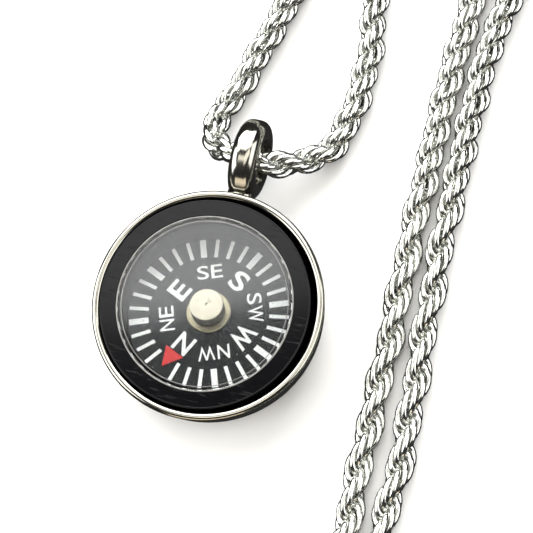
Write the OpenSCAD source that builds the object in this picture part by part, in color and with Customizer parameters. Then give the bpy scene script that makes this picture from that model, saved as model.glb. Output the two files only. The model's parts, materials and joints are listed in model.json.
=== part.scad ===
// Compass pendant: a button compass in a polished steel cup, on a rope chain.
// Millimetres, +Z up. The origin is the centre of the cup's flat back, which lies
// on the surface with the chain. The bail points along +Y.

/* [Case] */
// Outside radius of the rolled lip
lip_r = 11; // [10.9:0.05:11.3]
// Height of the case from its back to the top of the lip
case_h = 6.8; // [6.6:0.1:7.4]
// Thickness of the steel sheet
sheet = 0.45; // [0.35:0.05:0.5]
// Outside radius of the rounding between the back and the side
case_round = 4.4; // [4.2:0.1:4.4]

/* [Bail] */
// Outside radius of the bail ring
bail_r = 3.9; // [3.7:0.1:3.9]
// Radius of the hole that the chain runs through
bail_hole_r = 2.1; // [2.1:0.05:2.2]
// Width of the bail's band
bail_w = 2.6; // [2.1:0.1:2.7]
// Rounding of the band's outer edges, which makes its outside a dome
bail_round = 1; // [0.5:0.1:1]
// Distance from the case's axis to the centre of the bail
bail_y = 14.8; // [14.6:0.1:14.9]
// Height of the centre of the bail above the back
bail_z = 5; // [4.9:0.1:5.1]

/* [Capsule] */
// Outside radius of the capsule
capsule_r = 9.95; // [9.8:0.05:9.95]
// Inside radius of the capsule, which shows as a bright ring
chamber_r = 8.35; // [8.3:0.05:8.4]
// Thickness of the clear disc over the card
window_t = 0.65; // [0.5:0.05:0.7]
// Sideways place of the capsule in its cup, as it is glued in
capsule_x = -0.25; // [-0.28:0.01:0]

/* [Card] */
// Radius of the floating card
card_r = 7.75; // [7.6:0.05:7.8]
// Thickness of the card
card_t = 0.35; // [0.25:0.05:0.4]
// Angle by which the card leans towards the bail, in degrees
card_lean = 10.5; // [0:0.5:11]
// Radius of the hub's cap
hub_r = 1.6; // [1.4:0.05:1.6]
// Radius of the hub's flange
flange_r = 2.1; // [1.9:0.05:2.2]
// Height of the hub above the card
hub_h = 1.95; // [1.8:0.05:2]

/* [Chain] */
// Outside radius of the rope chain
chain_r = 1.3; // [1.2:0.05:1.3]
// Number of sides of the tube that stands for the chain
chain_sides = 8; // [8:1:12]

/* [Hidden] */
$fn = 96;
play = 0.05;

// The case is thinner below its lip, so the lip stands a little proud all round.
wall_r = lip_r - 0.3;
bead_r = 0.375;
bead_z = case_h - bead_r;
solder_r = 1.3;

// Heights inside the capsule.
capsule_bottom = 0.75;
capsule_floor = 1.5;
capsule_top = case_h - 0.05;
window_z = capsule_top - window_t;
window_play = 0.03;
window_r = chamber_r - window_play;
edge_cut = 0.12;

// The card turns on the needle's tip, inside the hub.
jewel_depth = 0.5;
pivot_drop = hub_h - jewel_depth;
pivot_z = 5.12;
flange_h = 0.25;
cup_r = 0.85;
cup_top_r = 0.15;
needle_r = 0.3;
tip_r = 0.06;
taper_z = pivot_z - 0.75;
boss_r = 1.2;
boss_h = 0.6;
socket_z = 1;

// The clasp lies across the far end of the loop, along X.
clasp_y = -104;
clasp_z = 1.5;
cap_r = 1.5;
cap_bore_r = chain_r + 0.08;
cap_len = 5.2;
cap_bore_len = 3.9;
eye_ring_r = 1.05;
eye_wire_r = 0.38;
clasp_wire_r = 0.45;
tail_ring_r = 1.6;
claw_ring_r = 2.3;
body_len = 3.4;
body_r = 1.15;
eye_a_x = 21.1;
tail_x = eye_a_x - tail_ring_r;
body_x = tail_x - tail_ring_r;
claw_x = body_x - body_len - claw_ring_r + 0.4;
eye_b_x = claw_x - claw_ring_r;

// The chain's centre line, from one end cap round to the other: up the right-hand
// strand, over, down to the bail, through it, up, over, and down beside the first.
// It lies on the surface, and rises only to pass through the bail and into the caps.
LIE = chain_r;
CHAIN_ROUTE = [
    [23.7, clasp_y, clasp_z], [28.5, clasp_y, clasp_z], [32, -102, 1.4], [33.4, -98, LIE],
    [32.6, -91.5, LIE], [30, -84, LIE], [26.6, -75.5, LIE], [23.6, -67, LIE],
    [21.6, -58, LIE], [20.7, -49, LIE], [20.4, -39, LIE], [20.3, -28, LIE],
    [20.3, -17, LIE], [20.4, -9, LIE], [20, -2, LIE], [19.5, 5, LIE],
    [19.2, 12, LIE], [19, 19, LIE], [18.9, 25, LIE], [19, 31, LIE],
    [19.8, 37, LIE], [21, 44, LIE], [21.6, 52, LIE], [21, 60, LIE],
    [18.8, 67.5, LIE], [15, 73, LIE], [10, 75, LIE], [5, 73, LIE],
    [1.2, 67.5, LIE], [-1, 60, LIE], [-1.4, 52, LIE], [-0.9, 44.5, LIE],
    [-0.6, 38, LIE], [-1.3, 32.5, LIE], [-2.6, 27.5, LIE], [-4, 22, LIE],
    [-4.8, 20, 1.5], [-5, 18.4, 2], [-4.5, 16.9, 2.8], [-3.3, 15.8, 3.6],
    [-1.7, 15.3, 4.4], [-0.3, 15, 4.6], [1.1, 14.9, 4.6], [2.3, 15.2, 4.1],
    [3.5, 15.7, 3.3], [4.9, 16.6, 2.3], [6.2, 18, 1.6], [7.2, 20.2, LIE],
    [7.8, 24, LIE], [7.8, 29, LIE], [7, 34, LIE], [6.5, 39.5, LIE],
    [6.5, 46, LIE], [6.9, 50.5, LIE], [8.7, 54, LIE], [11.8, 55.4, LIE],
    [14.9, 54, LIE], [16.7, 50.5, LIE], [17, 45, LIE], [16.5, 38, LIE],
    [16.1, 31, LIE], [16, 25, LIE], [16.1, 19, LIE], [16.2, 12, LIE],
    [16.5, 5, LIE], [16.7, -2, LIE], [16.8, -9, LIE], [17, -17, LIE],
    [17, -28, LIE], [16.8, -39, LIE], [16, -49, LIE], [14.4, -58, LIE],
    [11.6, -67, LIE], [8, -75.5, LIE], [4, -84, LIE], [0.8, -91.5, LIE],
    [-0.8, -98, LIE], [0.4, -102, 1.4], [3.6, clasp_y, clasp_z], [7.7, clasp_y, clasp_z]
];

// Direction of the route at point i, from its neighbours.
function unit(v) = v / norm(v);
function heading(i) =
    let (last = len(CHAIN_ROUTE) - 1)
    unit(CHAIN_ROUTE[min(i + 1, last)] - CHAIN_ROUTE[max(i - 1, 0)]);
// One ring of the tube: points round the route, in the plane across its heading.
function chain_ring(i) =
    let (d = heading(i), side = unit(cross(d, [0, 0, 1])), up = cross(side, d))
    [for (k = [0 : chain_sides - 1])
        let (a = k * 360 / chain_sides)
        CHAIN_ROUTE[i] + chain_r * (cos(a) * side + sin(a) * up)];

// Moves a shape drawn about the pivot to the card's place and lean.
module on_card() {
    translate([capsule_x, 0, pivot_z]) rotate([-card_lean, 0, 0]) children();
}

// Places a shape drawn about the capsule's axis.
module in_capsule() {
    translate([capsule_x, 0, 0]) children();
}

// Outline of the cup's skin, at a distance inside its outer face.
module cup_outline(inset) {
    corner_r = case_round - inset;
    corner_x = wall_r - case_round;
    union() {
        translate([corner_x, case_round]) circle(r = corner_r);
        translate([0, inset]) square([corner_x, case_h + 1]);
        translate([0, case_round]) square([wall_r - inset, case_h + 1]);
    }
}

// Half of the cup's section, which is turned round the axis.
module cup_section() {
    intersection() {
        difference() {
            cup_outline(0);
            cup_outline(sheet);
        }
        square([lip_r, bead_z]);
    }
    translate([lip_r - bead_r, bead_z]) circle(r = bead_r, $fn = 48);
}

// Section of the bail's band, rounded more on its outside than in its hole.
module band_section() {
    inner_round = 0.4;
    half_w = bail_w / 2;
    union() {
        translate([bail_hole_r, -half_w + inner_round])
            square([bail_r - bail_hole_r - bail_round, bail_w - 2 * inner_round]);
        translate([bail_hole_r + inner_round, -half_w])
            square([bail_r - bail_hole_r - inner_round - bail_round, bail_w]);
        translate([bail_hole_r + 0.5, -half_w + bail_round])
            square([bail_r - bail_hole_r - 0.5, bail_w - 2 * bail_round]);
        for (s = [-1, 1]) {
            translate([bail_hole_r + inner_round, s * (half_w - inner_round)])
                circle(r = inner_round, $fn = 32);
            translate([bail_r - bail_round, s * (half_w - bail_round)])
                circle(r = bail_round, $fn = 48);
        }
    }
}

// The ring stands upright, so that its hole runs along X.
module bail() {
    translate([0, bail_y, bail_z]) rotate([0, 90, 0]) rotate_extrude() band_section();
    // Solder between the ring and the side of the case
    translate([0, wall_r - sheet / 2, bail_z]) rotate([-90, 0, 0])
        cylinder(h = bail_y - bail_r - wall_r + 1, r = solder_r, $fn = 48);
}

module case() {
    color("silver") union() {
        rotate_extrude() cup_section();
        bail();
    }
}

// A black cup, whose wall shows as the glossy band round the window.
module capsule_base() {
    color([0.05, 0.05, 0.06]) in_capsule() difference() {
        union() {
            rotate_extrude() polygon([
                [0, capsule_bottom], [7, capsule_bottom], [8.4, capsule_floor],
                [9.35, 2.7], [capsule_r, case_round], [capsule_r, capsule_top - edge_cut],
                [capsule_r - edge_cut, capsule_top], [chamber_r + edge_cut, capsule_top],
                [chamber_r, capsule_top - edge_cut], [chamber_r, 2.6],
                [7.3, capsule_floor], [0, capsule_floor]
            ]);
            translate([0, 0, capsule_floor - play]) cylinder(h = boss_h, r = boss_r, $fn = 48);
        }
        translate([0, 0, socket_z]) cylinder(h = 2, r = needle_r + 0.02, $fn = 32);
    }
}

// A clear disc, set in the mouth of the cup.
module capsule_cover() {
    color([0.85, 0.9, 0.92, 0.35]) in_capsule() rotate_extrude() polygon([
        [0, window_z], [window_r, window_z], [window_r, capsule_top - edge_cut],
        [window_r - edge_cut, capsule_top], [0, capsule_top]
    ]);
}

module pivot_pin() {
    color("gray") in_capsule() union() {
        translate([0, 0, socket_z + play])
            cylinder(h = taper_z - socket_z - play, r = needle_r, $fn = 32);
        translate([0, 0, taper_z])
            cylinder(h = pivot_z - 0.03 - taper_z, r1 = needle_r, r2 = tip_r, $fn = 32);
    }
}

module dial_card() {
    color([0.12, 0.12, 0.13]) on_card() difference() {
        translate([0, 0, -pivot_drop - card_t]) cylinder(h = card_t, r = card_r);
        translate([0, 0, -pivot_drop - 1]) cylinder(h = 2, r = 1.05, $fn = 48);
    }
}

module hub() {
    seat = -pivot_drop + 0.02;
    color([0.85, 0.8, 0.62]) on_card() difference() {
        union() {
            translate([0, 0, seat]) cylinder(h = flange_h, r = flange_r);
            translate([0, 0, seat]) cylinder(h = hub_h - 0.02, r = hub_r);
        }
        translate([0, 0, seat - 0.001])
            cylinder(h = pivot_drop + 0.03, r1 = cup_r, r2 = cup_top_r, $fn = 48);
    }
}

module chain() {
    rings = len(CHAIN_ROUTE);
    points = [for (i = [0 : rings - 1]) each chain_ring(i)];
    sides = [
        for (i = [0 : rings - 2], k = [0 : chain_sides - 1])
            let (a = i * chain_sides + k, b = i * chain_sides + (k + 1) % chain_sides)
            [a, a + chain_sides, b + chain_sides, b]
    ];
    first = [for (k = [0 : chain_sides - 1]) k];
    last = [for (k = [chain_sides - 1 : -1 : 0]) (rings - 1) * chain_sides + k];
    color([0.8, 0.8, 0.8]) polyhedron(points = points, faces = concat([first, last], sides));
}

// A round wire bent into a closed ring. The ring lies flat unless it is turned.
module wire_ring(ring_r, wire_r) {
    rotate_extrude($fn = 64) translate([ring_r, 0]) circle(r = wire_r, $fn = 24);
}

// Tube end with its eye at the origin. The tube opens along +X.
module end_cap() {
    tube_x = eye_ring_r + 0.1;
    rotate([90, 0, 0]) wire_ring(eye_ring_r, eye_wire_r);
    rotate([0, 90, 0]) difference() {
        translate([0, 0, tube_x]) cylinder(h = cap_len, r = cap_r, $fn = 48);
        translate([0, 0, tube_x + cap_len - cap_bore_len])
            cylinder(h = cap_bore_len + 1, r = cap_bore_r, $fn = 48);
    }
}

module end_cap_a() {
    color("silver") translate([eye_a_x, clasp_y, clasp_z]) end_cap();
}

module end_cap_b() {
    color("silver") translate([eye_b_x, clasp_y, clasp_z]) mirror([1, 0, 0]) end_cap();
}

module clasp() {
    color("silver") translate([0, clasp_y, clasp_z]) union() {
        translate([tail_x, 0, 0]) wire_ring(tail_ring_r, clasp_wire_r);
        translate([body_x - body_len, 0, 0]) rotate([0, 90, 0])
            cylinder(h = body_len, r = body_r, $fn = 48);
        translate([claw_x, 0, 0]) wire_ring(claw_ring_r, clasp_wire_r);
    }
}

case();
capsule_base();
capsule_cover();
pivot_pin();
dial_card();
hub();
chain();
end_cap_a();
end_cap_b();
clasp();
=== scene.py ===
# %% [markdown]
# # A compass pendant on a rope chain
# A button compass sits in a polished steel cup. A bail is soldered to the cup's side, and a
# rope chain runs through it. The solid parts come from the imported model, so this lesson adds
# what a solid can't show: the chain's links, the printed dial, and the finish of every part.

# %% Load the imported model
import json
import math
import random

import bmesh
import bpy
from mathutils import Matrix, Vector
from mathutils.geometry import interpolate_bezier


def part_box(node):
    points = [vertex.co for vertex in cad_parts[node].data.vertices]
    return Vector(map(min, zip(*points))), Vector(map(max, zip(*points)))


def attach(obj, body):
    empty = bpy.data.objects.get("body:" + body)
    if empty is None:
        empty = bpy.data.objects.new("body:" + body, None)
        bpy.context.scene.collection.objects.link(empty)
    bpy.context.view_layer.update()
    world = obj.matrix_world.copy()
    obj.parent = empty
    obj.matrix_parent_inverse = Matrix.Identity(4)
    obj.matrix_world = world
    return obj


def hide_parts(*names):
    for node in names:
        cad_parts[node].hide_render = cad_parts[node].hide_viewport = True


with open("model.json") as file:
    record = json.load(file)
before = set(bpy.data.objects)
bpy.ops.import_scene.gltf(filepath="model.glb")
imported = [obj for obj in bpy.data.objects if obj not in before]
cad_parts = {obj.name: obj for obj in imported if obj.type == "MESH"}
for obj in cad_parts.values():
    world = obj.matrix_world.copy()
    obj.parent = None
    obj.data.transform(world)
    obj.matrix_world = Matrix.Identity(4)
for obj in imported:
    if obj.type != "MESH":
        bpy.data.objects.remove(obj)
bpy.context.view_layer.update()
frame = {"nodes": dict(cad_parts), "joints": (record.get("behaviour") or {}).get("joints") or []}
scene = bpy.context.scene
nodes = frame["nodes"]
MM = 0.001
print("parts of the frame:", ", ".join(sorted(nodes)))

# %% [markdown]
# ## The camera
# A product photograph of something this small is taken from about twenty centimetres with a
# long lens. The camera looks down steeply, and it is rolled, so that the bail points to the
# upper right of the picture. A long lens keeps the round case nearly a true ellipse.

# %% Camera
CAMERA_PLACE = Vector((47.1, -36.7, 202.1)) * MM
CAMERA_AIM = Vector((3.1, 6.1, 0)) * MM
CAMERA_ROLL = math.radians(-32)
LENS = 148.6
NEAREST_SEEN = 10 * MM

camera_data = bpy.data.cameras.new("camera")
camera_data.lens = LENS
camera_data.clip_start = NEAREST_SEEN
camera = bpy.data.objects.new("camera", camera_data)
scene.collection.objects.link(camera)
scene.camera = camera
view = (CAMERA_AIM - CAMERA_PLACE).to_track_quat("-Z", "Y").to_matrix()
camera.matrix_world = (Matrix.Translation(CAMERA_PLACE)
                       @ (view @ Matrix.Rotation(CAMERA_ROLL, 3, "Z")).to_4x4())
print("camera distance, mm:", round((CAMERA_AIM - CAMERA_PLACE).length / MM))

# %% [markdown]
# ## Small helpers
# Colours are picked as sRGB hex codes, but a shader computes in linear light, so one function
# turns the first into the second. The second helper adds a node and sets it in one line. The
# third turns a size in millimetres into the scale of a pattern on Object coordinates. The
# others start a material, give it to a solid, and turn a finished bmesh into a new piece.

# %% Helpers
def linear(hex_code):
    """An sRGB hex colour as linear RGBA."""
    parts = [int(hex_code[i:i + 2], 16) / 255 for i in (1, 3, 5)]
    return [c / 12.92 if c <= 0.04045 else ((c + 0.055) / 1.055) ** 2.4 for c in parts] + [1]


def add_node(tree, kind, settings={}, values={}, links={}):
    """A new node with its settings, its sockets' values and its incoming links."""
    node = tree.nodes.new(kind)
    for name, value in settings.items():
        setattr(node, name, value)
    for name, value in values.items():
        node.inputs[name].default_value = value
    for name, socket in links.items():
        tree.links.new(socket, node.inputs[name])
    return node


def pattern(size_mm):
    """The scale of a pattern whose features are that many millimetres apart."""
    return 1 / (size_mm * MM)


def new_material(name, **values):
    """A material with its node tree, its shader, and the piece's Object coordinates."""
    material = bpy.data.materials.new(name)
    material.use_nodes = True
    tree = material.node_tree
    shader = tree.nodes["Principled BSDF"]
    for socket, value in values.items():
        shader.inputs[socket.replace("_", " ")].default_value = value
    place = add_node(tree, "ShaderNodeTexCoord").outputs["Object"]
    return material, tree, shader, place


def finish_node(name, material):
    """Gives a CAD node its finish."""
    for slot in nodes[name].material_slots:
        slot.material = material
    print(name, "is", material.name)


def new_piece(name, shape, material):
    """A bmesh as an object with that material. The bmesh itself is freed."""
    mesh = bpy.data.meshes.new(name)
    shape.to_mesh(mesh)
    shape.free()
    mesh.materials.append(material)
    piece = bpy.data.objects.new(name, mesh)
    scene.collection.objects.link(piece)
    return piece

# %% [markdown]
# ## Polished stainless steel
# The cup and the bail are stainless steel, polished on a buffing wheel. That leaves a mirror
# with two small faults. Fine hairlines run where the wheel passed, and fingers leave dull
# patches. A long thin noise makes the hairlines as a bump of a few thousandths of a
# millimetre, and a soft broad noise makes the patches as roughness.

# %% Steel of the case
# To the eye: a dark, slightly warm mirror with soft dull patches.
steel, tree, shader, place = new_material("polished_stainless_steel", Metallic=1.0)
shader.inputs["Base Color"].default_value = linear("#A7A59B")
smudge = add_node(tree, "ShaderNodeTexNoise",
                  values={"Scale": pattern(3.0), "Detail": 5.0}, links={"Vector": place})
dullness = add_node(tree, "ShaderNodeMapRange",
                    values={"From Min": 0.4, "From Max": 0.7, "To Min": 0.1, "To Max": 0.2},
                    links={"Value": smudge.outputs["Fac"]})
tree.links.new(dullness.outputs["Result"], shader.inputs["Roughness"])
wheel = add_node(tree, "ShaderNodeMapping", values={"Scale": (1.0, 1.0, 14.0)},
                 links={"Vector": place})
hairlines = add_node(tree, "ShaderNodeTexNoise",
                     values={"Scale": pattern(1.2), "Detail": 3.0},
                     links={"Vector": wheel.outputs["Vector"]})
steel_bump = add_node(tree, "ShaderNodeBump", values={"Strength": 0.12, "Distance": 0.002 * MM},
                      links={"Height": hairlines.outputs["Fac"]})
tree.links.new(steel_bump.outputs["Normal"], shader.inputs["Normal"])
finish_node("case", steel)

# %% [markdown]
# ## The chain's wire
# The links are drawn wire, tumbled with steel shot until they shine. Tumbling leaves tiny
# dents in place of hairlines, so the bump is a fine round noise. Drawn stainless wire is a
# little brighter than the sheet of the cup.

# %% Steel of the chain
# To the eye: white glints with dark edges on every wire.
wire_steel, tree, shader, place = new_material("tumbled_stainless_wire", Metallic=1.0)
shader.inputs["Base Color"].default_value = linear("#CACBC6")
dents = add_node(tree, "ShaderNodeTexNoise",
                 values={"Scale": pattern(0.8), "Detail": 2.0}, links={"Vector": place})
polish = add_node(tree, "ShaderNodeMapRange",
                  values={"From Min": 0.35, "From Max": 0.65, "To Min": 0.12, "To Max": 0.2},
                  links={"Value": dents.outputs["Fac"]})
tree.links.new(polish.outputs["Result"], shader.inputs["Roughness"])
wire_bump = add_node(tree, "ShaderNodeBump", values={"Strength": 0.15, "Distance": 0.004 * MM},
                     links={"Height": dents.outputs["Fac"]})
tree.links.new(wire_bump.outputs["Normal"], shader.inputs["Normal"])
for name in ("end_cap_a", "end_cap_b", "clasp"):
    finish_node(name, wire_steel)

# %% [markdown]
# ## Where the chain lies
# The chain lies loose on the table, runs up through the bail and down again, and closes in
# its clasp. The points are the same as in the part's source. A smooth curve through them is
# a row of Bezier pieces whose handles follow the neighbouring points.

# %% The chain's path
# Points of the chain's middle in millimetres. One without a Z lies at the height ON_TABLE.
ON_TABLE = 1.3
CLASP_Y, CLASP_Z = -104, 1.5
STEPS_BETWEEN_STOPS = 30
ROUTE = [
    (23.7, CLASP_Y, CLASP_Z), (28.5, CLASP_Y, CLASP_Z), (32, -102, 1.4), (33.4, -98),
    (32.6, -91.5), (30, -84), (26.6, -75.5), (23.6, -67), (21.6, -58), (20.7, -49),
    (20.4, -39), (20.3, -28), (20.3, -17), (20.4, -9), (20, -2), (19.5, 5), (19.2, 12),
    (19, 19), (18.9, 25), (19, 31), (19.8, 37), (21, 44), (21.6, 52), (21, 60), (18.8, 67.5),
    (15, 73), (10, 75), (5, 73), (1.2, 67.5), (-1, 60), (-1.4, 52), (-0.9, 44.5),
    (-0.6, 38), (-1.3, 32.5), (-2.6, 27.5), (-4, 22), (-4.8, 20, 1.5), (-5, 18.4, 2),
    (-4.5, 16.9, 2.8), (-3.3, 15.8, 3.6), (-1.7, 15.3, 4.4), (-0.3, 15, 4.6),
    (1.1, 14.9, 4.6), (2.3, 15.2, 4.1), (3.5, 15.7, 3.3), (4.9, 16.6, 2.3),
    (6.2, 18, 1.6), (7.2, 20.2), (7.8, 24), (7.8, 29), (7, 34), (6.5, 39.5), (6.5, 46),
    (6.9, 50.5), (8.7, 54), (11.8, 55.4), (14.9, 54), (16.7, 50.5), (17, 45), (16.5, 38),
    (16.1, 31), (16, 25), (16.1, 19), (16.2, 12), (16.5, 5), (16.7, -2), (16.8, -9),
    (17, -17), (17, -28), (16.8, -39), (16, -49), (14.4, -58), (11.6, -67), (8, -75.5),
    (4, -84), (0.8, -91.5), (-0.8, -98), (0.4, -102, 1.4), (3.6, CLASP_Y, CLASP_Z),
    (7.7, CLASP_Y, CLASP_Z),
]
stops = [Vector((p + (ON_TABLE,))[:3]) * MM for p in ROUTE]


def smooth_path(points, steps):
    """Close points on a smooth curve through the given ones."""
    path = []
    for i in range(len(points) - 1):
        before, a, b, after = (points[max(i - 1, 0)], points[i], points[i + 1],
                               points[min(i + 2, len(points) - 1)])
        path += interpolate_bezier(a, a + (b - before) / 6, b - (after - a) / 6, b, steps)[:-1]
    return path + [points[-1]]


path = smooth_path(stops, STEPS_BETWEEN_STOPS)
chain_length = sum((b - a).length for a, b in zip(path, path[1:]))
print("chain between its end caps, mm:", round(chain_length / MM, 1))

# %% [markdown]
# ## One link
# A rope chain is made of plain round rings, each threaded through the three or four before
# it and turned a little further. Its two strands are the two sides of the same rings. So one
# link is enough: a small circle, spun round an axis beside it into a ring. It is repeated
# hundreds of times, so it has only fifty faces. A Subdivision Surface modifier rounds it
# when the rope is laid. That also draws a shape in, so the link starts a little too large.

# %% The link that the rope repeats
ROPE_ACROSS = 2.86 * MM
WIRE = 0.66 * MM
WIRE_SIDES, RING_STEPS = 5, 10
# How much the modifier draws in the round of the wire and the round of the ring.
WIRE_SHRINK, RING_SHRINK = 0.82, 0.95

link_shape = bmesh.new()
bmesh.ops.create_circle(link_shape, segments=WIRE_SIDES, radius=WIRE / 2 / WIRE_SHRINK)
bmesh.ops.translate(link_shape, verts=link_shape.verts,
                    vec=((ROPE_ACROSS - WIRE) / 2 / RING_SHRINK, 0, 0))
bmesh.ops.spin(link_shape, geom=link_shape.verts[:] + link_shape.edges[:], axis=(0, 1, 0),
               cent=(0, 0, 0), angle=2 * math.pi, steps=RING_STEPS, use_merge=True)
bmesh.ops.recalc_face_normals(link_shape, faces=link_shape.faces)
for face in link_shape.faces:
    face.smooth = True
link = bpy.data.meshes.new("link")
link_shape.to_mesh(link)
print("faces in a link:", len(link_shape.faces))
link_shape.free()

# %% [markdown]
# ## The rope
# Each next link moves on along the path and turns about it, to the right, as a screw does.
# The rope is twisted harder near the pendant than further down, where its lobes are longer
# and the links lie more along it. The links are set out by one walk along the path. Hand
# threading is never perfect, so each link is also a little out of line. A link that would
# dip into the table is lifted onto it, as the real ones shift when the chain is laid down.

# %% Lay the rope
# The length of a lobe in millimetres and its number of links, by the chain's place along Y.
LAY = [(-110, 3.6, 4.6), (-60, 3.9, 4.8), (-20, 4.2, 5.0), (13, 4.15, 5.0), (18, 2.65, 4.1),
       (60, 2.55, 4.0), (80, 2.6, 4.0)]
# How far a link stands out from the rope's middle, and how far that way is turned.
NOTCH = 0.1 * MM
SKEW = math.radians(20)
# A link's stretch along the rope in a lobe of 2.6 mm, and what 1.6 mm more add to it.
SHORT_LOBE, MORE_LOBE = 2.6, 1.6
STRETCH, MORE_STRETCH = 1.12, 0.25
# How far a link is out of line: its turn in radians and its place in millimetres.
LOOSE_TURN, LOOSE_PLACE = 0.07, 0.03
SEED = 7


def lay_at(y):
    """The lobe's length and its number of links at that place."""
    for (y0, lobe0, links0), (y1, lobe1, links1) in zip(LAY, LAY[1:]):
        if y <= y1:
            part = max(0, (y - y0) / (y1 - y0))
            return (lobe0 + (lobe1 - lobe0) * part) * MM, links0 + (links1 - links0) * part


def link_places(path):
    """A matrix for each link: its place, its turn about the rope and its stretch."""
    shaky = random.Random(SEED)
    places, turn, i, part = [], 0.0, 0, 0.0
    while i < len(path) - 1:
        a, b = path[i], path[i + 1]
        along = (b - a).normalized()
        side = along.cross(Vector((0, 0, 1))).normalized()
        up = side.cross(along)
        angle = turn + shaky.uniform(-LOOSE_TURN, LOOSE_TURN)
        out = side * math.sin(angle) + up * math.cos(angle)
        across = out.cross(along)
        lobe, links = lay_at(a.y / MM)
        longer = STRETCH + MORE_STRETCH * (lobe / MM - SHORT_LOBE) / MORE_LOBE
        offset = NOTCH + shaky.uniform(-LOOSE_PLACE, LOOSE_PLACE) * MM
        centre = a + along * part + (out * math.cos(SKEW) + across * math.sin(SKEW)) * offset
        turned = Matrix((out, -across, along * longer)).transposed().to_4x4()
        places.append(Matrix.Translation(centre) @ turned)
        turn += math.pi / links
        part += lobe / links
        while i < len(path) - 1 and part > (path[i + 1] - path[i]).length:
            part -= (path[i + 1] - path[i]).length
            i += 1
    return places


def rope(name, places):
    """One stretch of the rope as a piece: the link, laid at each of the places."""
    shape = bmesh.new()
    for place in places:
        one = link.copy()
        one.transform(place)
        lowest = min(v.co.z for v in one.vertices)
        if lowest < 0:
            one.transform(Matrix.Translation((0, 0, -lowest)))
        shape.from_mesh(one)
        bpy.data.meshes.remove(one)
    piece = new_piece(name, shape, wire_steel)
    rounding = piece.modifiers.new("rounding", "SUBSURF")
    rounding.levels = rounding.render_levels = 1
    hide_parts("chain")
    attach(piece, "root")
    print(name, "has", len(places), "links")


places = link_places(path)
half = len(places) // 2
rope("rope_up", places[:half])
rope("rope_down", places[half:])
bpy.data.meshes.remove(link)

# %% [markdown]
# ## Black capsule and clear cover
# The compass is a cup of glossy black plastic, and the cup's wall is the black band round the
# window. A disc of clear acrylic closes its mouth. Both are injection moulded and smooth.
# Wear shows as hair scratches on the band, all roughly one way, and as specks of dust on the
# disc. Neither is deep enough to change the shape, so both are patches of higher roughness:
# a stretched noise for the scratches, and the middles of Voronoi cells for the dust. Acrylic
# bends light a little less than window glass does: its IOR is 1.49.

# %% Plastics of the capsule
# To the eye: nearly black, with a faint grey sheen that scratches break up.
plastic, tree, shader, place = new_material("glossy_black_plastic", IOR=1.5,
                                            Specular_IOR_Level=0.18)
grime = add_node(tree, "ShaderNodeTexNoise", values={"Scale": pattern(1.5), "Detail": 6.0},
                 links={"Vector": place})
shade = add_node(tree, "ShaderNodeMix", {"data_type": "RGBA"},
                 {"A": linear("#050506"), "B": linear("#0D0D0F")},
                 {"Factor": grime.outputs["Fac"]})
tree.links.new(shade.outputs["Result"], shader.inputs["Base Color"])
rubbed = add_node(tree, "ShaderNodeMapping",
                  values={"Rotation": (0, 0, math.radians(35)), "Scale": (1.0, 9.0, 1.0)},
                  links={"Vector": place})
scratches = add_node(tree, "ShaderNodeTexNoise", values={"Scale": pattern(2.2), "Detail": 5.0},
                     links={"Vector": rubbed.outputs["Vector"]})
scratched = add_node(tree, "ShaderNodeMapRange",
                     values={"From Min": 0.58, "From Max": 0.7, "To Min": 0.1, "To Max": 0.42},
                     links={"Value": scratches.outputs["Fac"]})
tree.links.new(scratched.outputs["Result"], shader.inputs["Roughness"])
finish_node("capsule_base", plastic)

# To the eye: invisible but for what it mirrors and the dust on it.
acrylic, tree, shader, place = new_material("clear_acrylic", IOR=1.49, Transmission_Weight=1.0)
shader.inputs["Base Color"].default_value = linear("#FBFDFD")
grains = add_node(tree, "ShaderNodeTexVoronoi", values={"Scale": pattern(1.1)},
                  links={"Vector": place})
dust = add_node(tree, "ShaderNodeMapRange",
                values={"From Min": 0.04, "From Max": 0.025, "To Min": 0.07, "To Max": 0.4},
                links={"Value": grains.outputs["Distance"]})
tree.links.new(dust.outputs["Result"], shader.inputs["Roughness"])
finish_node("capsule_cover", acrylic)

# %% [markdown]
# ## The edge of the window
# The clear disc sits in the mouth of the black cup. The bright line round the window is the
# glint of the disc's edge, and a thin ring of pale grey in the joint paints it. A finer pale
# ring inside it paints the glint on the corner of the disc's bevel, and the cup's own rim is
# rounded. The rings are glossy and take real highlights too. All three could be cut into the
# solids, but they are thinner than its tolerances. Each is a small circle spun round the
# capsule's axis, half sunk in the surface.

# %% Painted glint rings and moulded rim
LINE_SIDES, LINE_STEPS = 12, 180


def round_edge(name, node, outwards, below, thick, material):
    """A thin round ring along a round node's upper edge, as a piece that stays still."""
    low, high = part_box(node)
    centre, radius = (low + high) / 2, (high.x - low.x) / 2 + outwards
    shape = bmesh.new()
    bmesh.ops.create_circle(shape, segments=LINE_SIDES, radius=thick / 2,
                            matrix=Matrix.Translation((radius, 0, 0))
                            @ Matrix.Rotation(math.pi / 2, 4, "X"))
    bmesh.ops.spin(shape, geom=shape.verts[:] + shape.edges[:], axis=(0, 0, 1),
                   cent=(0, 0, 0), angle=2 * math.pi, steps=LINE_STEPS, use_merge=True)
    bmesh.ops.recalc_face_normals(shape, faces=shape.faces)
    bmesh.ops.translate(shape, verts=shape.verts, vec=(centre.x, centre.y, high.z - below))
    for face in shape.faces:
        face.smooth = True
    piece = new_piece(name, shape, material)
    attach(piece, "root")
    print(name, "is", round(2 * radius / MM, 2), "mm across")
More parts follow.
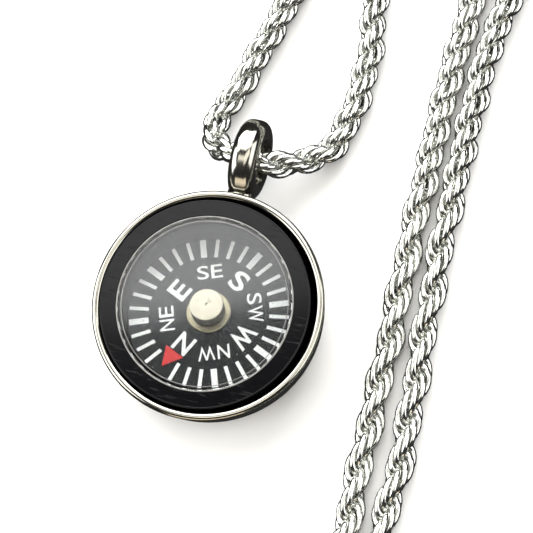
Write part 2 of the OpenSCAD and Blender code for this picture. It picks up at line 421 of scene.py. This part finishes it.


# To the eye: a thin line, cloudy between grey and white. The pale grey is a painted highlight:
# the glint of the window's edge.
edge_glint, tree, shader, place = new_material("painted_edge_glint", Roughness=0.2, IOR=1.5)
cloud = add_node(tree, "ShaderNodeTexNoise", values={"Scale": pattern(0.8), "Detail": 3.0},
                 links={"Vector": place})
glint_tone = add_node(tree, "ShaderNodeMix", {"data_type": "RGBA"},
                {"A": linear("#4A4A49"), "B": linear("#A3A29D")},
                {"Factor": cloud.outputs["Fac"]})
tree.links.new(glint_tone.outputs["Result"], shader.inputs["Base Color"])
# Both rings are pale grey, as painted highlight for the glint of the window's edge and of the
# bevel's corner.
round_edge("window_glint_ring", "capsule_cover", outwards=0.01 * MM, below=0.05 * MM,
           thick=0.16 * MM, material=edge_glint)
round_edge("bevel_line", "capsule_cover", outwards=-0.42 * MM, below=0.02 * MM,
           thick=0.07 * MM, material=edge_glint)
round_edge("capsule_rim", "capsule_base", outwards=-0.08 * MM, below=0.1 * MM,
           thick=0.22 * MM, material=plastic)

# %% [markdown]
# ## The floating card
# The dial is a stiff card, printed in white and red on black, with the magnet under it. It
# leans towards the bail, and it turns with the hub on the tip of a needle. Offset ink on
# card is satin, and under a lens it is mottled.

# %% Card and needle
# To the eye: a soft black, a little lighter where the card's fibres lie near the top.
card_black, tree, shader, place = new_material("satin_black_card", Roughness=0.5, IOR=1.5,
                                               Specular_IOR_Level=0.2)
fibre = add_node(tree, "ShaderNodeTexNoise", values={"Scale": pattern(0.12), "Detail": 3.0},
                 links={"Vector": place})
ink = add_node(tree, "ShaderNodeMix", {"data_type": "RGBA"},
               {"A": linear("#0C0C0D"), "B": linear("#1E1E20")},
               {"Factor": fibre.outputs["Fac"]})
tree.links.new(ink.outputs["Result"], shader.inputs["Base Color"])
card_bump = add_node(tree, "ShaderNodeBump", values={"Strength": 0.3, "Distance": 0.004 * MM},
                     links={"Height": fibre.outputs["Fac"]})
tree.links.new(card_bump.outputs["Normal"], shader.inputs["Normal"])
finish_node("dial_card", card_black)

# To the eye: grey steel with fine rings round it, from the grinding wheel.
needle, tree, shader, place = new_material("ground_steel_needle", Metallic=1.0)
shader.inputs["Base Color"].default_value = linear("#B5B5B5")
along_needle = add_node(tree, "ShaderNodeMapping", values={"Scale": (0.1, 0.1, 1.0)},
                        links={"Vector": place})
rings = add_node(tree, "ShaderNodeTexNoise", values={"Scale": pattern(0.05), "Detail": 2.0},
                 links={"Vector": along_needle.outputs["Vector"]})
ground = add_node(tree, "ShaderNodeMapRange", values={"To Min": 0.2, "To Max": 0.35},
                  links={"Value": rings.outputs["Fac"]})
tree.links.new(ground.outputs["Result"], shader.inputs["Roughness"])
finish_node("pivot_pin", needle)

# %% [markdown]
# ## Where the print goes
# Everything on the card is drawn flat, in millimetres about the card's centre, and one
# matrix then lays it on the leaning card. The matrix comes from the joint: the card turns
# about the joint's axis, and its top is a set distance below the pivot.

# %% The card's own frame
spin = frame["joints"][0]
pivot = Vector(spin["pos_m"])
card_axis = Vector(spin["axis"]).normalized()
CARD_BELOW_PIVOT = 1.45 * MM
PRINT = 0.02 * MM
lean = Vector((0, 0, 1)).rotation_difference(card_axis).to_matrix().to_4x4()
on_card = Matrix.Translation(pivot - card_axis * CARD_BELOW_PIVOT) @ lean
print("the card leans by", round(math.degrees(math.acos(card_axis.z)), 1), "degrees")


def printed(name, shape, material):
    """A thin layer of ink on the card, as a piece that turns with it."""
    bmesh.ops.transform(shape, matrix=on_card, verts=shape.verts)
    piece = new_piece(name, shape, material)
    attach(piece, "card")


def printing_ink(name, light, dark):
    """Screen ink: satin, and thinner where the card's fibres show through."""
    material, tree, shader, place = new_material(name, Roughness=0.45, IOR=1.5)
    mottle = add_node(tree, "ShaderNodeTexNoise", values={"Scale": pattern(0.22), "Detail": 4.0},
                      links={"Vector": place})
    thin = add_node(tree, "ShaderNodeMapRange", values={"From Min": 0.42, "From Max": 0.68},
                    links={"Value": mottle.outputs["Fac"]})
    tone = add_node(tree, "ShaderNodeMix", {"data_type": "RGBA"},
                    {"A": linear(light), "B": linear(dark)},
                    {"Factor": thin.outputs["Result"]})
    tree.links.new(tone.outputs["Result"], shader.inputs["Base Color"])
    return material


white_ink = printing_ink("white_screen_ink", "#FFFFFD", "#E6E6E4")
red_ink = printing_ink("red_screen_ink", "#DE201C", "#C41A18")

# %% [markdown]
# ## Marks round the dial
# The circle is divided into 32. The seven main winds get a thick mark, and an arrow takes
# the place of the one at north. Each mark is a thin box, turned to its direction.

# %% Marks and arrow
NORTH = math.radians(-113.7)
DIVISIONS, PER_WIND = 32, 4
MARK_FROM, MARK_TO = 5.74 * MM, 7.6 * MM
THIN, THICK = 0.35 * MM, 0.58 * MM
# The arrow's corners in millimetres: outwards, across and up.
ARROW = [(4.95, -1.05, 0), (6.8, 0, 0), (4.95, 1.05, 0)]

marks = bmesh.new()
for step in range(1, DIVISIONS):
    width = THICK if step % PER_WIND == 0 else THIN
    seat = (Matrix.Rotation(NORTH - step * 2 * math.pi / DIVISIONS, 4, "Z")
            @ Matrix.Translation(((MARK_FROM + MARK_TO) / 2, 0, PRINT / 2))
            @ Matrix.Diagonal((MARK_TO - MARK_FROM, width, PRINT, 1)))
    bmesh.ops.create_cube(marks, size=1, matrix=seat)
printed("dial_marks", marks, white_ink)

arrow = bmesh.new()
corners = [arrow.verts.new(Matrix.Rotation(NORTH, 4, "Z") @ Vector(p) * MM) for p in ARROW]
arrow.faces.new(corners)
lifted = bmesh.ops.extrude_face_region(arrow, geom=arrow.faces[:])["geom"]
bmesh.ops.translate(arrow, verts=[v for v in lifted if isinstance(v, bmesh.types.BMVert)],
                    vec=(0, 0, 2 * PRINT))
bmesh.ops.recalc_face_normals(arrow, faces=arrow.faces)
printed("north_arrow", arrow, red_ink)
print("marks on the dial:", DIVISIONS - 1, "and an arrow")

# %% [markdown]
# ## Letters
# The letters stand with their tops outwards, so that each reads upright when its direction
# is ahead. A text object gives the outline of one letter at a time. It is made a mesh first,
# and then scaled to its width and height in millimetres, because the dial's letters are wider
# than the font's. Screen printing is a little inexact, so each word is slightly out of place.

# %% Letters of the eight winds
WINDS = ["N", "NE", "E", "SE", "S", "SW", "W", "NW"]
# Each letter's width and the gap between two, as parts of the letter's height.
WIDTH = {"N": 0.82, "E": 0.78, "S": 0.78, "W": 1.16}
GAP = 0.17
# How far each word is printed out of place, in millimetres along X and Y.
USUAL_SLIP = (0.2, 0)
SLIP = {"SE": (0.4, 0.14), "S": (0.3, 0.2), "NW": (0.1, 0.13)}
# The height in millimetres, the distance from the centre, and the added weight of the font.
LARGE = (2.0, 3.92, 0.022)
SMALL = (1.4, 4.2, 0.008)


def letter_shape(letter, height, bold):
    """One letter as a thin solid that stands on the X axis, from x = 0."""
    text = bpy.data.curves.new("letter", "FONT")
    text.body = letter
    text.offset = bold
    # Any thickness will do, because the letter is scaled below.
    text.extrude = 0.5
    text.resolution_u = 6
    holder = bpy.data.objects.new("letter", text)
    scene.collection.objects.link(holder)
    bpy.context.view_layer.update()
    mesh = bpy.data.meshes.new_from_object(holder.evaluated_get(
        bpy.context.evaluated_depsgraph_get()))
    shape = bmesh.new()
    shape.from_mesh(mesh)
    bpy.data.objects.remove(holder)
    bpy.data.curves.remove(text)
    bpy.data.meshes.remove(mesh)
    bmesh.ops.remove_doubles(shape, verts=shape.verts, dist=1e-5)
    low, high = ([f(v.co[i] for v in shape.verts) for i in (0, 1, 2)] for f in (min, max))
    size = (height * WIDTH[letter], height, PRINT)
    bmesh.ops.translate(shape, verts=shape.verts, vec=[-x for x in low])
    bmesh.ops.scale(shape, verts=shape.verts,
                    vec=[wanted / (b - a) for wanted, a, b in zip(size, low, high)])
    return shape


for count, wind in enumerate(WINDS):
    height_mm, radius_mm, bold = LARGE if len(wind) == 1 else SMALL
    height, radius = height_mm * MM, radius_mm * MM
    whole = height * (sum(WIDTH[letter] for letter in wind) + GAP * (len(wind) - 1))
    slip = Vector(SLIP.get(wind, USUAL_SLIP) + (0,)) * MM
    seat = (Matrix.Translation(slip)
            @ Matrix.Rotation(NORTH - count * 2 * math.pi / len(WINDS), 4, "Z")
            @ Matrix.Translation((radius - height / 2, 0, 0))
            @ Matrix.Rotation(-math.pi / 2, 4, "Z"))
    word = bpy.data.meshes.new("word")
    shape = bmesh.new()
    start = -whole / 2
    for letter in wind:
        one = letter_shape(letter, height, bold)
        bmesh.ops.transform(one, verts=one.verts, matrix=seat @ Matrix.Translation((start, 0, 0)))
        one.to_mesh(word)
        one.free()
        shape.from_mesh(word)
        start += height * (WIDTH[letter] + GAP)
    bpy.data.meshes.remove(word)
    printed("letters_" + wind, shape, white_ink)
print("letters:", " ".join(WINDS))

# %% [markdown]
# ## The hub
# The hub is turned from brass bar, with a flange that grips the card. A lathe leaves a
# centre dot where the part was faced, and small chamfers. The solid in the frame has neither,
# so a spun profile replaces it. Its colour holds painted light and shade: the face and the
# flange are painted pale, as where the light falls, and the side between them dark brown, as
# in shade, darkest where it meets the flange. The dot product of a point with the card's
# axis is its height along the hub, and a colour ramp turns that height into the bands.

# %% Turned hub
HUB_STEPS = 64
# Each corner's distance from the axis and its height over the pivot, in millimetres.
HUB_PROFILE = [
    (0, 0.4), (0.08, 0.42), (0.14, 0.5), (1.53, 0.5), (1.58, 0.48), (1.6, 0.43), (1.6, -1.18),
    (2.0, -1.18), (2.08, -1.21), (2.1, -1.28), (2.1, -1.43), (0, -1.43),
]
hub_shape = bmesh.new()
profile = [hub_shape.verts.new(Vector((r, 0, z)) * MM) for r, z in HUB_PROFILE]
edges = [hub_shape.edges.new(pair) for pair in zip(profile, profile[1:])]
bmesh.ops.spin(hub_shape, geom=profile + edges, axis=(0, 0, 1), cent=(0, 0, 0),
               angle=2 * math.pi, steps=HUB_STEPS, use_merge=True)
bmesh.ops.remove_doubles(hub_shape, verts=hub_shape.verts, dist=1e-7)
bmesh.ops.recalc_face_normals(hub_shape, faces=hub_shape.faces)
# The sides are shaded smooth, and the faces and chamfers flat.
for face in hub_shape.faces:
    face.smooth = abs(face.normal.z) < 0.5
bmesh.ops.transform(hub_shape, matrix=Matrix.Translation(pivot) @ lean, verts=hub_shape.verts)
print("faces in the hub:", len(hub_shape.faces))

# How far up the hub each tone lies, from 0 at its foot to 1 at its face.
HUB_FOOT, HUB_FACE = -1.5 * MM, 0.5 * MM
# The tones are painted light and shade: pale on the lit face and flange, dark brown on the shaded
# side, darkest just above the flange.
HUB_LIGHT_AND_SHADE = [(0.16, "#968E76"), (0.2, "#5B5544"), (0.9, "#6E6752"), (0.97, "#A39D8D")]

# To the eye: a creamy satin face with dark nicks, and a side painted dull brown as shade.
brass, tree, shader, place = new_material("turned_pale_brass", Metallic=1.0)
along_axis = add_node(tree, "ShaderNodeVectorMath", {"operation": "DOT_PRODUCT"},
                      {1: card_axis}, {0: place})
up_the_hub = add_node(tree, "ShaderNodeMapRange",
                      values={"From Min": pivot.dot(card_axis) + HUB_FOOT,
                              "From Max": pivot.dot(card_axis) + HUB_FACE},
                      links={"Value": along_axis.outputs["Value"]})
painted_shade_bands = add_node(tree, "ShaderNodeValToRGB", links={"Fac": up_the_hub.outputs["Result"]})
bands = painted_shade_bands.color_ramp.elements
for level, tone in HUB_LIGHT_AND_SHADE:
    bands.new(level).color = linear(tone)
# A new ramp's own two tones, black and white, stand at its ends and go.
bands.remove(bands[0])
bands.remove(bands[-1])
nicks = add_node(tree, "ShaderNodeTexVoronoi", values={"Scale": pattern(0.6)},
                 links={"Vector": place})
nick = add_node(tree, "ShaderNodeMapRange", values={"From Min": 0.16, "From Max": 0.08},
                links={"Value": nicks.outputs["Distance"]})
nicked = add_node(tree, "ShaderNodeMix", {"data_type": "RGBA"}, {"B": linear("#5C5640")},
                  {"Factor": nick.outputs["Result"], "A": painted_shade_bands.outputs["Color"]})
tree.links.new(nicked.outputs["Result"], shader.inputs["Base Color"])
pits = add_node(tree, "ShaderNodeTexNoise", values={"Scale": pattern(0.3), "Detail": 5.0},
                links={"Vector": place})
satin = add_node(tree, "ShaderNodeMapRange",
                 values={"From Min": 0.35, "From Max": 0.7, "To Min": 0.34, "To Max": 0.55},
                 links={"Value": pits.outputs["Fac"]})
tree.links.new(satin.outputs["Result"], shader.inputs["Roughness"])
hub_bump = add_node(tree, "ShaderNodeBump", values={"Strength": 0.4, "Distance": 0.006 * MM},
                    links={"Height": pits.outputs["Fac"]})
tree.links.new(hub_bump.outputs["Normal"], shader.inputs["Normal"])
hub = new_piece("hub_turned", hub_shape, brass)
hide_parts("hub")
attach(hub, "card")

# %% [markdown]
# ## Table and light
# Polished steel shows what stands round it, so the light matters as much as the metal. A
# large soft panel beyond the pendant lights the chain. A narrow one above it mirrors in the
# cover, and its lower edge falls just below the hub, so that half of the window is grey and
# half dark. Two side panels edge the wires, one nearly overhead whitens the lip, and a low
# warm one puts a tan patch on the bail. A white table would fill every lower edge of the
# metal with white, so it is hidden from reflections, and a dim room shows there instead: that
# draws the dark outlines of the wires and of the case.

# %% Floor, panels and background
TABLE_HALF = 1.5

# To the eye: a matt white sheet that takes soft shadows.
paper, tree, shader, place = new_material("white_paper", Roughness=0.7)
shader.inputs["Base Color"].default_value = linear("#F2F2F0")
floor_shape = bmesh.new()
bmesh.ops.create_grid(floor_shape, x_segments=1, y_segments=1, size=TABLE_HALF)
floor = new_piece("table", floor_shape, paper)
floor.visible_glossy = False


def panel(name, direction, distance, width, height, brightness, colour="#FFFFFF"):
    """A soft panel that faces the pendant from a direction (azimuth, elevation) in degrees.

    The distance and the sizes are in metres, and a brightness of 1 shows as white.
    """
    azimuth, elevation = (math.radians(d) for d in direction)
    data = bpy.data.lights.new(name, "AREA")
    data.shape = "RECTANGLE"
    data.size, data.size_y = width, height
    data.energy = brightness * math.pi * width * height
    data.color = linear(colour)[:3]
    lamp = bpy.data.objects.new(name, data)
    lamp.location = distance * Vector((math.cos(elevation) * math.cos(azimuth),
                                       math.cos(elevation) * math.sin(azimuth),
                                       math.sin(elevation)))
    lamp.rotation_euler = (-lamp.location).to_track_quat("-Z", "Y").to_euler()
    lamp.visible_camera = False
    scene.collection.objects.link(lamp)
    print(name, "gives", round(data.energy, 1), "W")


panel("far_panel", (111, 37), 0.7, 1.0, 0.44, 7.0)
panel("top_panel", (111, 66), 0.7, 1.0, 0.24, 3.2)
panel("left_panel", (195, 32), 0.7, 0.7, 0.5, 4.6)
panel("right_panel", (10, 32), 0.7, 0.7, 0.5, 3.0)
panel("near_panel", (-45, 82), 0.8, 0.7, 0.36, 2.6, "#FFFAF2")
panel("low_panel", (-85, 4), 0.7, 0.6, 0.34, 2.0, "#FFEED6")

world = bpy.data.worlds.new("studio")
world.use_nodes = True
room = world.node_tree.nodes["Background"]
room.inputs["Color"].default_value = linear("#3A3A3A")
room.inputs["Strength"].default_value = 1.0
scene.world = world
scene.view_settings.view_transform = "Standard"
